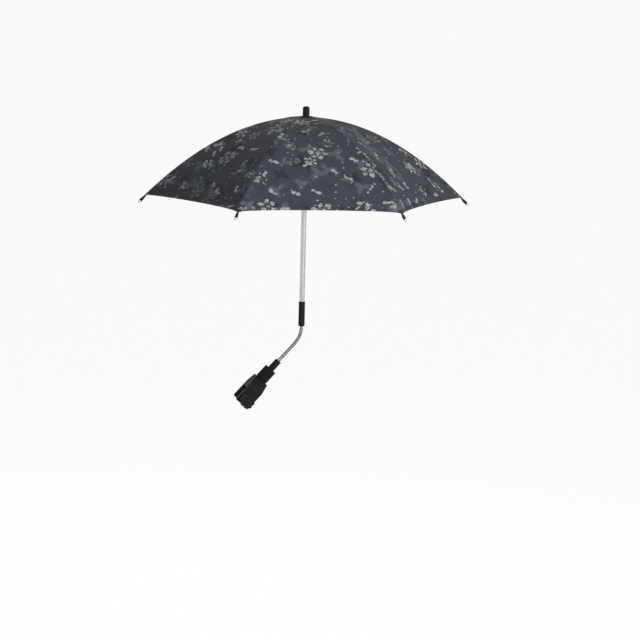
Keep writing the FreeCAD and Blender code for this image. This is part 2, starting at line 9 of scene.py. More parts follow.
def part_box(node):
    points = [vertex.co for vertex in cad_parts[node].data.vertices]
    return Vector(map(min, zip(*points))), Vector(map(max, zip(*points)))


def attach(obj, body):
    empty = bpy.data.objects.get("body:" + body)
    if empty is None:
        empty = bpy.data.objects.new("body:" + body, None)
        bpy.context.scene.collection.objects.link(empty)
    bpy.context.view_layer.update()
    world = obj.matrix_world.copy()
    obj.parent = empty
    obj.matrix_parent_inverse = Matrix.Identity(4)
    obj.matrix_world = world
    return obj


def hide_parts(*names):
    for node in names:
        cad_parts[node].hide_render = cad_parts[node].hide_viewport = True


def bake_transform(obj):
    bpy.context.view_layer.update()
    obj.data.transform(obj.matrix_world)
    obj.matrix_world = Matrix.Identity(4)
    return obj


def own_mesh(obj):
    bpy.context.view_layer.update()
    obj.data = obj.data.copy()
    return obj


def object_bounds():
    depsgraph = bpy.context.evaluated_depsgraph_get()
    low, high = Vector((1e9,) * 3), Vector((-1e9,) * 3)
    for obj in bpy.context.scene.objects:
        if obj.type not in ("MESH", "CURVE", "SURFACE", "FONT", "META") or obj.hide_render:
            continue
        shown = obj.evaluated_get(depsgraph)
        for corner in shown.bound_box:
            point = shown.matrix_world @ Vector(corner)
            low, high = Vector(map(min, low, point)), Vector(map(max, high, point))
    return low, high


# Pram parasol: printed canopy on ribs, bright pole, flexible arm and tube clamp. Metres.
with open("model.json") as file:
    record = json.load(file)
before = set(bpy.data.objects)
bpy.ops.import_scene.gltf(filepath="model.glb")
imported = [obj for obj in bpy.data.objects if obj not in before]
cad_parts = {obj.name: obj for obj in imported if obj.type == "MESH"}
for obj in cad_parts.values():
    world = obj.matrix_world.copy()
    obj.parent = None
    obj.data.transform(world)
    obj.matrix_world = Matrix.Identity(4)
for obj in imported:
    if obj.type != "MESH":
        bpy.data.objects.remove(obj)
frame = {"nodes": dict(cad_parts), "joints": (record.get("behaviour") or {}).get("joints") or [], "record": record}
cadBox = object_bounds()
nodes = frame["nodes"]

sleeveLow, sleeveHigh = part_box("pole_sleeve")
poleFoot = np.array([(sleeveLow.x + sleeveHigh.x) / 2, 0.0, sleeveLow.z])   # foot of the pole's own axis
ribCount = 6
stepAngle = 2 * math.pi / ribCount


def linear(hexText):
    # sRGB hex to linear light, with full alpha
    parts = [int(hexText[i:i + 2], 16) / 255 for i in (1, 3, 5)]
    return tuple(c / 12.92 if c <= 0.04045 else ((c + 0.055) / 1.055) ** 2.4 for c in parts) + (1.0,)


def addNode(tree, kind, inputs=None, **settings):
    # one node: settings are its own fields, inputs are numbers, colours or sockets to link
    node = tree.nodes.new(kind)
    for name, value in settings.items():
        setattr(node, name, value)
    for key, value in (inputs or {}).items():
        if isinstance(value, bpy.types.NodeSocket):
            tree.links.new(value, node.inputs[key])
        else:
            node.inputs[key].default_value = value
    return node


def startFinish(name, **sockets):
    # a material with one Principled shader, its even values set on the shader's own sockets
    finish = bpy.data.materials.new(name)
    finish.use_nodes = True
    tree = finish.node_tree
    shader = tree.nodes["Principled BSDF"]
    for key, value in sockets.items():
        shader.inputs[key.replace("_", " ")].default_value = value
    return finish, tree, shader


def newPiece(name, points, faces, finish, smooth=True):
    # a mesh object at the origin from whole arrays of points and faces
    mesh = bpy.data.meshes.new(name)
    mesh.from_pydata(np.asarray(points).reshape(-1, 3).tolist(), [], np.asarray(faces).tolist())
    mesh.polygons.foreach_set("use_smooth", np.full(len(mesh.polygons), smooth))
    for one in finish if isinstance(finish, list) else [finish]:
        mesh.materials.append(one)
    mesh.update()
    piece = bpy.data.objects.new(name, mesh)
    bpy.context.scene.collection.objects.link(piece)
    return piece


def gridFaces(rows, columns, wrap=False):
    # quads of a grid numbered row by row; wrap joins the last column to the first
    across = np.arange(columns if wrap else columns - 1)
    i, j = np.meshgrid(np.arange(rows - 1), across, indexing="ij")
    k = (j + 1) % columns
    near = i * columns
    far = near + columns
    return np.stack([near + j, near + k, far + k, far + j], -1).reshape(-1, 4)


def smoothStep(low, high, x):
    # 0 below low, 1 above high, and a smooth rise between
    t = np.clip((x - low) / (high - low), 0, 1)
    return t * t * (3 - 2 * t)


# Finishes

# Printed polyester: a plain weave, so matt with a fine cross grain, slate grey with a pale flower print.
# A motif has the size of its cells and its own size in metres, its count of petals, and how deep the outline
# dips between them. Fill and luck are bands, low, high and softness: of the outline's share that is inked,
# and of the random number that each cell draws.
printDesign = dict(
    ground="#3E4148", groundDark="#2E3036", pale="#989A99", ghost="#555960", shadow="#222428",
    thread="#1E2023",
    blossom=dict(cell=0.053, size=0.0185, petals=6, depth=0.2, luck=(0.40, 0.61, 0.03),
                 ends=(0.52, 1.0, 0.07), sides=(-0.45, 2.0, 0.3), eye=(-1.0, 0.3, 0.06)),
    posy=dict(fill=(-1.0, 1.02, 0.12), luck=(0.61, 2.0, 0.03)),
    petal=dict(cell=0.0092, size=0.0062, petals=3, depth=0.18, fill=(-1.0, 0.95, 0.15),
               paleFrom=0.2, paleTo=0.75),
    leafPair=dict(cell=0.043, size=0.0105, petals=2, depth=0.44, shift=(0.113, 0.071, 0.0),
                  fill=(-1.0, 0.95, 0.1), luck=(0.55, 2.0, 0.1)),
    ghostLeaf=dict(cell=0.060, size=0.022, petals=3, depth=0.34, shift=(0.031, 0.047, 0.0),
                   fill=(-1.0, 0.85, 0.3), luck=(0.3, 2.0, 0.1)),
    shadowLeaf=dict(cell=0.071, size=0.026, petals=4, depth=0.26, shift=(0.019, 0.083, 0.0),
                    fill=(-1.0, 0.8, 0.4), luck=(0.35, 2.0, 0.1)),
    seedDot=dict(cell=0.021, size=0.0021, petals=4, depth=0.15, shift=(0.0, 0.0, 0.0),
                 fill=(-1.0, 1.0, 0.25), luck=(0.62, 2.0, 0.05)),
    scatter=0.72,                        # how far motifs stray from an even grid
    sizeLeast=0.7, sizeSpread=0.45,      # smallest motif and the spread above it, as shares of the size
    wobbleCell=0.016, wobble=0.013,      # hand-drawn unevenness of flowers and leaves
    ghostStrength=0.62, shadowStrength=0.75,
    inkCell=0.005263, inkFrom=0.36, inkTo=0.62, inkLeast=0.3,
    weave=0.0011,                        # real threads are 0.25 mm apart; drawn coarser so that they show
    weaveShade=0.16, yarnCell=0.041667,
    stitch=0.0032, stitchShare=0.7, stitchHalf=0.0004, stitchSide=0.0001, stitchEnd=0.0002, stitchRise=2.0,
    seamRow=0.0024, hemRow=0.0072, bumpStrength=0.22, bumpHeight=0.0003)


def band(tree, value, low, high, soft):
    # 1 between two values of a field, 0 outside, with soft sides
    rise = addNode(tree, "ShaderNodeMapRange",
                   {"Value": value, "From Min": low - soft, "From Max": low + soft},
                   interpolation_type="SMOOTHSTEP")
    fall = addNode(tree, "ShaderNodeMapRange",
                   {"Value": value, "From Min": high - soft, "From Max": high + soft,
                    "To Min": 1.0, "To Max": 0.0}, interpolation_type="SMOOTHSTEP")
    both = addNode(tree, "ShaderNodeMath", {0: rise.outputs[0], 1: fall.outputs[0]}, operation="MULTIPLY")
    return both.outputs[0]


def motifField(tree, uv, m):
    # one motif in each random cell: distance from its middle as a share of the petalled outline, the cell's
    # luck, and the outline's wave, 1 in the middle of a petal
    d = printDesign
    cells = addNode(tree, "ShaderNodeTexVoronoi",
                    {"Vector": uv, "Scale": 1 / m["cell"], "Randomness": d["scatter"]},
                    voronoi_dimensions="2D")
    offset = addNode(tree, "ShaderNodeVectorMath", {0: uv, 1: cells.outputs["Position"]},
                     operation="SUBTRACT").outputs[0]
    split = addNode(tree, "ShaderNodeSeparateXYZ", {0: offset})
    pick = addNode(tree, "ShaderNodeSeparateColor", {0: cells.outputs["Color"]})
    turn = addNode(tree, "ShaderNodeMath", {0: split.outputs["Y"], 1: split.outputs["X"]},
                   operation="ARCTAN2").outputs[0]
    start = addNode(tree, "ShaderNodeMath", {0: pick.outputs["Red"], 1: 2 * math.pi},
                    operation="MULTIPLY").outputs[0]
    angle = addNode(tree, "ShaderNodeMath", {0: turn, 1: m["petals"], 2: start},
                    operation="MULTIPLY_ADD").outputs[0]
    wave = addNode(tree, "ShaderNodeMath", {0: angle}, operation="COSINE").outputs[0]
    reach = addNode(tree, "ShaderNodeMath", {0: wave, 1: m["depth"], 2: 1 - m["depth"]},
                    operation="MULTIPLY_ADD").outputs[0]
    scale = addNode(tree, "ShaderNodeMath",
                    {0: pick.outputs["Green"], 1: d["sizeSpread"] * m["size"], 2: d["sizeLeast"] * m["size"]},
                    operation="MULTIPLY_ADD").outputs[0]
    span = addNode(tree, "ShaderNodeMath", {0: reach, 1: scale}, operation="MULTIPLY").outputs[0]
    length = addNode(tree, "ShaderNodeVectorMath", {0: offset}, operation="LENGTH").outputs["Value"]
    share = addNode(tree, "ShaderNodeMath", {0: length, 1: span}, operation="DIVIDE").outputs[0]
    return share, pick.outputs["Blue"], wave


def filledMotif(tree, uv, m):
    # motifs filled to their outline, in the cells whose luck is in the band
    place = addNode(tree, "ShaderNodeVectorMath", {0: uv, 1: m["shift"]}, operation="ADD").outputs[0]
    share, luck = motifField(tree, place, m)[:2]
    inside = band(tree, share, *m["fill"])
    chosen = band(tree, luck, *m["luck"])
    return addNode(tree, "ShaderNodeMath", {0: inside, 1: chosen}, operation="MULTIPLY").outputs[0]


def makeCloth(name, printStrength, tone):
    # one side of the cloth: how strongly its print shows, and the tone of the whole
    d = printDesign
    finish, tree, shader = startFinish(name, Roughness=0.86, Sheen_Weight=0.02, Sheen_Roughness=0.5, IOR=1.5,
                                       Specular_IOR_Level=0.06)
    uv = addNode(tree, "ShaderNodeUVMap", uv_map="flatCloth").outputs[0]
    shake = addNode(tree, "ShaderNodeTexNoise", {"Vector": uv, "Scale": 1 / d["wobbleCell"], "Detail": 1.0})
    centred = addNode(tree, "ShaderNodeVectorMath", {0: shake.outputs["Color"], 1: (0.5, 0.5, 0.5)},
                      operation="SUBTRACT").outputs[0]
    drawn = addNode(tree, "ShaderNodeVectorMath", {0: centred, 1: (d["wobble"],) * 3, 2: uv},
                    operation="MULTIPLY_ADD").outputs[0]

    # blossoms with pale petal ends and a filled eye, in the cells whose luck is middling
    m = d["blossom"]
    share, luck, wave = motifField(tree, drawn, m)
    ends = addNode(tree, "ShaderNodeMath",
                   {0: band(tree, share, *m["ends"]), 1: band(tree, wave, *m["sides"])},
                   operation="MULTIPLY").outputs[0]
    endsAndEye = addNode(tree, "ShaderNodeMath", {0: ends, 1: band(tree, share, *m["eye"])},
                         operation="MAXIMUM").outputs[0]
    blossom = addNode(tree, "ShaderNodeMath", {0: endsAndEye, 1: band(tree, luck, *m["luck"])},
                      operation="MULTIPLY").outputs[0]

    # posies of small petals, each petal of its own paleness, in the cells whose luck is high
    m = d["petal"]
    petalShare, petalLuck = motifField(tree, drawn, m)[:2]
    paleness = addNode(tree, "ShaderNodeMapRange",
                       {"Value": petalLuck, "From Min": m["paleFrom"], "From Max": m["paleTo"]}).outputs[0]
    petal = addNode(tree, "ShaderNodeMath", {0: band(tree, petalShare, *m["fill"]), 1: paleness},
                    operation="MULTIPLY").outputs[0]
    m = d["posy"]
    patch = addNode(tree, "ShaderNodeMath",
                    {0: band(tree, share, *m["fill"]), 1: band(tree, luck, *m["luck"])},
                    operation="MULTIPLY").outputs[0]
    posy = addNode(tree, "ShaderNodeMath", {0: patch, 1: petal}, operation="MULTIPLY").outputs[0]
    flower = addNode(tree, "ShaderNodeMath", {0: blossom, 1: posy}, operation="MAXIMUM").outputs[0]

    # pairs of small leaves and seed dots between them, faint and dark leaf rosettes behind
    pair = filledMotif(tree, drawn, d["leafPair"])
    seeds = filledMotif(tree, uv, d["seedDot"])
    faint = filledMotif(tree, drawn, d["ghostLeaf"])
    dark = filledMotif(tree, drawn, d["shadowLeaf"])
    bright = addNode(tree, "ShaderNodeMath", {0: flower, 1: pair}, operation="MAXIMUM").outputs[0]
    marks = addNode(tree, "ShaderNodeMath", {0: bright, 1: seeds}, operation="MAXIMUM").outputs[0]

    # printed ink breaks up over the threads
    patchy = addNode(tree, "ShaderNodeTexNoise", {"Vector": uv, "Scale": 1 / d["inkCell"], "Detail": 3.0})
    ink = addNode(tree, "ShaderNodeMapRange",
                  {"Value": patchy.outputs["Fac"], "From Min": d["inkFrom"], "From Max": d["inkTo"],
                   "To Min": d["inkLeast"], "To Max": 1.0}).outputs[0]
    inked = addNode(tree, "ShaderNodeMath", {0: marks, 1: ink}, operation="MULTIPLY").outputs[0]
    strong = addNode(tree, "ShaderNodeMath", {0: inked, 1: printStrength}, operation="MULTIPLY").outputs[0]
    soft = addNode(tree, "ShaderNodeMath", {0: faint, 1: d["ghostStrength"] * printStrength},
                   operation="MULTIPLY").outputs[0]
    deep = addNode(tree, "ShaderNodeMath", {0: dark, 1: d["shadowStrength"] * printStrength},
                   operation="MULTIPLY").outputs[0]

    # plain weave: two crossed sets of threads, and yarn that varies in shade over centimetres
    split = addNode(tree, "ShaderNodeSeparateXYZ", {0: uv})
    turns = 2 * math.pi / d["weave"]
    warp = addNode(tree, "ShaderNodeMath", {0: split.outputs["X"], 1: turns}, operation="MULTIPLY").outputs[0]
    weft = addNode(tree, "ShaderNodeMath", {0: split.outputs["Y"], 1: turns}, operation="MULTIPLY").outputs[0]
    warpWave = addNode(tree, "ShaderNodeMath", {0: warp}, operation="SINE").outputs[0]
    weftWave = addNode(tree, "ShaderNodeMath", {0: weft}, operation="SINE").outputs[0]
    weave = addNode(tree, "ShaderNodeMath", {0: warpWave, 1: weftWave}, operation="MULTIPLY").outputs[0]
    yarn = addNode(tree, "ShaderNodeTexNoise",
                   {"Vector": uv, "Scale": 1 / d["yarnCell"], "Detail": 4.0, "Roughness": 0.6}).outputs["Fac"]
    shade = addNode(tree, "ShaderNodeMath", {0: weave, 1: d["weaveShade"], 2: yarn},
                    operation="MULTIPLY_ADD").outputs[0]

    # two rows of stitches by each rib seam and one along the hem
    seam = addNode(tree, "ShaderNodeAttribute", attribute_name="seamReach").outputs["Fac"]
    hem = addNode(tree, "ShaderNodeAttribute", attribute_name="hemReach").outputs["Fac"]
    half = d["stitchHalf"]
    seamLine = band(tree, seam, d["seamRow"] - half, d["seamRow"] + half, d["stitchSide"])
    hemLine = band(tree, hem, d["hemRow"] - half, d["hemRow"] + half, d["stitchSide"])
    along = addNode(tree, "ShaderNodeMath", {0: split.outputs["Y"], 1: d["stitch"]},
                    operation="FLOORED_MODULO").outputs[0]
    across = addNode(tree, "ShaderNodeMath", {0: split.outputs["X"], 1: d["stitch"]},
                     operation="FLOORED_MODULO").outputs[0]
    threadLength = d["stitchShare"] * d["stitch"]
    alongOn = band(tree, along, 0.0, threadLength, d["stitchEnd"])
    acrossOn = band(tree, across, 0.0, threadLength, d["stitchEnd"])
    seamStitch = addNode(tree, "ShaderNodeMath", {0: seamLine, 1: alongOn}, operation="MULTIPLY").outputs[0]
    hemStitch = addNode(tree, "ShaderNodeMath", {0: hemLine, 1: acrossOn}, operation="MULTIPLY").outputs[0]
    stitches = addNode(tree, "ShaderNodeMath", {0: seamStitch, 1: hemStitch}, operation="MAXIMUM").outputs[0]

    # the colours, from the dyed yarn up to the sewing thread
    colour = addNode(tree, "ShaderNodeMix",
                     {"Factor": shade, "A": linear(d["groundDark"]), "B": linear(d["ground"])},
                     data_type="RGBA").outputs["Result"]
    for factor, layer in ((deep, "shadow"), (soft, "ghost"), (strong, "pale"), (stitches, "thread")):
        colour = addNode(tree, "ShaderNodeMix", {"Factor": factor, "A": colour, "B": linear(d[layer])},
                         data_type="RGBA").outputs["Result"]
    toned = addNode(tree, "ShaderNodeHueSaturation", {"Value": tone, "Color": colour})
    tree.links.new(toned.outputs[0], shader.inputs["Base Color"])

    # the weave and the stitches stand up a little
    height = addNode(tree, "ShaderNodeMath", {0: stitches, 1: d["stitchRise"], 2: weave},
                     operation="MULTIPLY_ADD").outputs[0]
    bump = addNode(tree, "ShaderNodeBump",
                   {"Strength": d["bumpStrength"], "Distance": d["bumpHeight"], "Height": height})
    tree.links.new(bump.outputs[0], shader.inputs["Normal"])
    return finish


# Bare metal: clouds of oxide and the spread of tone and gloss that drawn or ground lines give
metalLook = dict(cloudCell=0.026316, lineShare=0.5, toneFrom=0.5, toneTo=1.0, glossFrom=0.3, glossTo=0.7,
                 smoother=0.8, rougher=1.25, lineDepth=0.0001)


def makeMetal(name, tone, dark, rough, grain, stretch, strength):
    # bare metal: fine drawn or ground lines, and a little uneven oxide
    look = metalLook
    finish, tree, shader = startFinish(name, Metallic=1.0)
    place = addNode(tree, "ShaderNodeTexCoord").outputs["Object"]
    along = addNode(tree, "ShaderNodeMapping", {"Vector": place, "Scale": stretch}).outputs[0]
    lines = addNode(tree, "ShaderNodeTexNoise",
                    {"Vector": along, "Scale": 1 / grain, "Detail": 3.0}).outputs["Fac"]
    cloud = addNode(tree, "ShaderNodeTexNoise",
                    {"Vector": place, "Scale": 1 / look["cloudCell"], "Detail": 3.0}).outputs["Fac"]
    mixed = addNode(tree, "ShaderNodeMath", {0: lines, 1: look["lineShare"], 2: cloud},
                    operation="MULTIPLY_ADD").outputs[0]
    spread = addNode(tree, "ShaderNodeMapRange",
                     {"Value": mixed, "From Min": look["toneFrom"], "From Max": look["toneTo"]}).outputs[0]
    colour = addNode(tree, "ShaderNodeMix", {"Factor": spread, "A": linear(dark), "B": linear(tone)},
                     data_type="RGBA")
    gloss = addNode(tree, "ShaderNodeMapRange",
                    {"Value": lines, "From Min": look["glossFrom"], "From Max": look["glossTo"],
                     "To Min": rough * look["smoother"], "To Max": rough * look["rougher"]})
    bump = addNode(tree, "ShaderNodeBump",
                   {"Strength": strength, "Distance": look["lineDepth"], "Height": lines})
    tree.links.new(colour.outputs["Result"], shader.inputs["Base Color"])
    tree.links.new(gloss.outputs[0], shader.inputs["Roughness"])
    tree.links.new(bump.outputs[0], shader.inputs["Normal"])
    return finish


# Moulded plastic and rubber: the mould's grain, with duller and shinier places where it has been rubbed
mouldLook = dict(rubCell=0.016667, rubFrom=0.52, rubTo=0.78, glossFrom=0.3, glossTo=0.7,
                 smoother=0.85, rougher=1.25, grainDepth=0.0002, specularLevel=0.1)


def makeMoulded(name, tone, worn, rough, grit, strength, index):
    # moulded plastic or rubber: spark-eroded grain from the mould, and a few dull rubbed places
    look = mouldLook
    finish, tree, shader = startFinish(name, IOR=index, Specular_IOR_Level=look["specularLevel"])
    place = addNode(tree, "ShaderNodeTexCoord").outputs["Object"]
    grain = addNode(tree, "ShaderNodeTexVoronoi", {"Vector": place, "Scale": 1 / grit},
                    feature="SMOOTH_F1").outputs["Distance"]
    rub = addNode(tree, "ShaderNodeTexNoise",
                  {"Vector": place, "Scale": 1 / look["rubCell"], "Detail": 5.0,
                   "Roughness": 0.65}).outputs["Fac"]
    rubbed = addNode(tree, "ShaderNodeMapRange",
                     {"Value": rub, "From Min": look["rubFrom"], "From Max": look["rubTo"]}).outputs[0]
    colour = addNode(tree, "ShaderNodeMix", {"Factor": rubbed, "A": linear(tone), "B": linear(worn)},
                     data_type="RGBA")
    gloss = addNode(tree, "ShaderNodeMapRange",
                    {"Value": rub, "From Min": look["glossFrom"], "From Max": look["glossTo"],
                     "To Min": rough * look["smoother"], "To Max": min(rough * look["rougher"], 1.0)})
    bump = addNode(tree, "ShaderNodeBump",
                   {"Strength": strength, "Distance": look["grainDepth"], "Height": grain})
    tree.links.new(colour.outputs["Result"], shader.inputs["Base Color"])
    tree.links.new(gloss.outputs[0], shader.inputs["Roughness"])
    tree.links.new(bump.outputs[0], shader.inputs["Normal"])
    return finish


# The print shows full on the face, and faintly through the darker reverse
clothFace = makeCloth("printedPolyester", 1.0, 1.0)
clothBack = makeCloth("polyesterReverse", 0.3, 0.8)
# Metals: light and dark tone, roughness, line width in metres, stretch of the lines, strength of the relief
evenGrain = (1.0, 1.0, 1.0)
alongPole = (1.0, 1.0, 0.02)
# a drawn tube, clear anodised: soft bright streaks along the pole
drawnAluminium = makeMetal("anodisedAluminium", "#C3C5C7", "#B0B2B5", 0.24, 0.0006, alongPole, 0.12)
# rolled strip with zinc on it: duller and a little darker than the pole
platedSteel = makeMetal("zincPlatedSteel", "#B9BCBE", "#9EA1A4", 0.34, 0.0009, evenGrain, 0.15)
# bare wound strip: dark grey with narrow glints
hoseSteel = makeMetal("woundSteelHose", "#7F8285", "#626568", 0.3, 0.0005, evenGrain, 0.12)
# polished plate on the tip balls: bright small highlights
nickel = makeMetal("nickelPlate", "#C6C4C0", "#AEACA8", 0.2, 0.0012, evenGrain, 0.06)
# turned bar: a warm yellow
turnedBrass = makeMetal("turnedBrass", "#C9A24B", "#A9853A", 0.28, 0.0006, evenGrain, 0.12)
# Plastics: tone and rubbed tone, roughness, grain in metres, strength of the relief, refractive index
# moulded nylon: near black with a broad faint sheen
blackNylon = makeMoulded("blackNylon", "#111112", "#1A1A1C", 0.6, 0.0007, 0.25, 1.53)
# moulded rubber: black and dull
blackRubber = makeMoulded("blackRubber", "#1B1B1C", "#262627", 0.78, 0.0005, 0.35, 1.52)
print("finishes:", len(bpy.data.materials))

slotFinish = {"anodised_aluminium": drawnAluminium, "zinc_plated_steel": platedSteel, "hose_steel": hoseSteel,
              "black_nylon": blackNylon, "black_rubber": blackRubber, "insert_brass": turnedBrass,
              "printed_polyester": clothFace}
for part in frame["record"]["subparts"]:
    nodes[part["node"]].data.materials.clear()
    nodes[part["node"]].data.materials.append(slotFinish[part["material_slot"]])

# Canopy

canopy = dict(radius=0.336, rise=0.168, apex=0.4397, hole=0.006, scallop=0.0055, thickness=0.0006,
              sag=0.0048, sagLean=1.4, sagSpan=0.78,                # hollow, deepest about three quarters out
              ridge=0.00035, ridgeWidth=0.0034, ridgeEdge=0.0006,   # felled seam over the rib
              hemWidth=0.0085, hemEdge=0.0008,
              creaseRound=0.0050, creaseSeat=0.0012,
              pucker=0.0007, puckerReach=0.075, puckerCount=13, puckerFrom=0.003, puckerTo=0.02,
              rows=110, columns=44,
              rowLean=0.92, columnLean=1.35,                        # rows crowd to the hem, columns to ribs
              panelShift=(0.377, 0.613),                            # between the panels' places in the print
              # parts of a gore from the crown out: name, where it ends on the panel's middle line, and the
              # share of its width that it keeps when the ribs are folded
              parts=(("Crown", 0.07, 0.6), ("Middle", 0.13, 0.4), ("Skirt", 1.0, 0.25)))


def goreSurface(c):
    # Each panel is a parabola arched along the middle line between two ribs, straight across.
    # A row holds the distance d out along that line. A column holds w, 1 on the rib and 0 on that line.
    half = stepAngle / 2
    apothem = c["radius"] * math.cos(half)
    halfHem = c["radius"] * math.sin(half)
    bow = (halfHem ** 2 + c["scallop"] ** 2) / (2 * c["scallop"])
    side = np.linspace(-1, 1, 2 * c["columns"] + 1)
    w = 1 - np.abs(side) ** c["columnLean"]
    hemLine = apothem - c["scallop"] + (w * halfHem) ** 2 / (2 * bow)
    b = np.linspace(0, 1, c["rows"])[:, None] ** c["rowLean"]
    d = c["hole"] + b * (hemLine[None, :] - c["hole"])
    across = w[None, :] * d * math.tan(half)                 # from the panel's middle towards the rib
    off = (d * math.tan(half) - across) * math.cos(half)     # from the rib's own plane
    slope = 2 * c["rise"] * d / apothem ** 2
    arc = d / 2 * np.sqrt(1 + slope ** 2) + apothem ** 2 / (4 * c["rise"]) * np.arcsinh(slope)
    hemArc = arc[-1:, :] - arc

    height = c["apex"] - c["rise"] * (d / apothem) ** 2
    # soft crease on the rib, broad enough to cover it when the cloth is folded, and seated on it
    crease = np.sqrt(off ** 2 + c["creaseRound"] ** 2) - off
    height -= slope * math.sin(half) * (crease - c["creaseRound"] + c["creaseSeat"])
    # the cloth hollows between the ribs
    swell = np.sin(np.pi * np.clip(d / apothem, 0, 1) ** c["sagLean"] * c["sagSpan"])
    height -= c["sag"] * (1 - w[None, :] ** 2) * swell
    # felled seam and turned hem lie one layer higher
    height += c["ridge"] * (1 - smoothStep(c["ridgeWidth"] - c["ridgeEdge"], c["ridgeWidth"], off))
    height += c["ridge"] * (1 - smoothStep(c["hemWidth"] - c["hemEdge"], c["hemWidth"], hemArc))
    # small puckers fan out from the corner that the tip pulls on
    fromTip = np.hypot(off, hemArc)
    fan = np.arctan2(off, hemArc + 1e-6)
    fade = np.exp(-(fromTip / c["puckerReach"]) ** 2) * smoothStep(c["puckerFrom"], c["puckerTo"], off)
    height += c["pucker"] * np.sin(fan * c["puckerCount"]) * fade

    # plan position in the rib's frame: along the panel's middle direction, then towards the rib
    sign = np.where(side < 0, -1.0, 1.0)[None, :]
    x = d * math.cos(half) + across * math.sin(half)
    y = sign * (d * math.sin(half) - across * math.cos(half))
    return np.stack([x, y, height], -1), dict(d=d, across=across, off=off, arc=arc, hemArc=hemArc)


def aboutPole(points, angle):
    # turn about the pole's axis, then move to the pole's foot
    c, s = math.cos(angle), math.sin(angle)
    turn = np.array([[c, -s, 0], [s, c, 0], [0, 0, 1]])
    return points @ turn.T + poleFoot


def dressCloth(mesh, c, fields, block, rows, columns, onRight, rib):
    # flat cloth: u across each panel, v along it, and every panel cut from another place of the print
    loops = np.empty(len(mesh.loops), np.int32)
    mesh.loops.foreach_get("vertex_index", loops)
    loopRight = np.repeat(onRight, 4)
    panel = np.where(loopRight, rib, (rib - 1) % ribCount)
    u = fields["across"][block].ravel()[loops] * np.where(loopRight, -1.0, 1.0) + c["panelShift"][0] * panel
    v = fields["arc"][block].ravel()[loops] + c["panelShift"][1] * panel
    layer = mesh.uv_layers.new(name="flatCloth")
    layer.data.foreach_set("uv", np.stack([u, v], -1).astype(np.float32).ravel())
    for key, field in (("seamReach", fields["off"]), ("hemReach", fields["hemArc"])):
        values = field[block].astype(np.float32).ravel()
        mesh.attributes.new(key, "FLOAT", "POINT").data.foreach_set("value", values)
    # cut edges stay sharp, so that the thin rim doesn't shade the face
    ends = np.empty(2 * len(mesh.edges), np.int32)
    mesh.edges.foreach_get("vertices", ends)
    endRow, endColumn = np.divmod(ends.reshape(-1, 2), columns)
    border = [endRow == 0, endRow == rows - 1, endColumn == 0, endColumn == columns - 1]
    sharp = np.any([side.all(axis=1) for side in border], axis=0)
    mesh.attributes.new("sharp_edge", "BOOLEAN", "EDGE").data.foreach_set("value", sharp)


def makeGores(c):
    # six gores, one over each rib, each laid in parts from the crown out
    surface, fields = goreSurface(c)
    columns = surface.shape[1]
    middle = columns // 2
    far = fields["d"][:, 0]                        # out along the panel's middle line
    pieces = 0
    firstRow = 0
    for part, reach, keep in c["parts"]:
        lastRow = min(int(np.searchsorted(far, reach)), len(far) - 1)
        block = slice(firstRow, lastRow + 1)
        rows = lastRow - firstRow + 1
        firstRow = lastRow
        grid = surface[block]
        faces = gridFaces(rows, columns)[:, ::-1]      # faces look up
        onRight = (faces % columns).min(axis=1) >= middle
        for i in range(ribCount):
            angle = i * stepAngle
            gore = newPiece(f"canopyGore{i + 1}{part}", aboutPole(grid, angle), faces, [clothFace, clothBack])
            dressCloth(gore.data, c, fields, block, rows, columns, onRight, i)
            wall = gore.modifiers.new("clothWall", "SOLIDIFY")
            wall.thickness = c["thickness"]
            wall.offset = -1.0
            wall.material_offset = 1
            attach(gore, f"arm_{i + 1}")
            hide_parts(f"canopy_gore_{i + 1}")
            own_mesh(gore)
            pieces += 1
    return pieces


print("canopy sheets:", makeGores(canopy))

# Rib tips: a black boot drawn over the end of each rib, up to the cloth's corner, with a plated ball

tipForm = dict(collar=0.0030, waist=0.0024, ball=0.0032, length=0.0140, columns=28, ballRows=16,
               bootLength=0.0075, bootRadius=0.0017, bootMouth=0.0002, cornerReach=0.0031,
               cornerRadius=0.0020, bevel=0.0003, bevelLength=0.0004, neckGap=0.0001,
               pole=0.00001)                        # least radius, at the end of the ball


def latheGrid(profile, columns):
    # profile rows of radius and height, carried round the Z axis
    angle = np.linspace(0, 2 * math.pi, columns, endpoint=False)[None, :]
    r, z = profile[:, :1], profile[:, 1:]
    return np.stack([r * np.cos(angle), r * np.sin(angle), z + 0 * angle], -1)


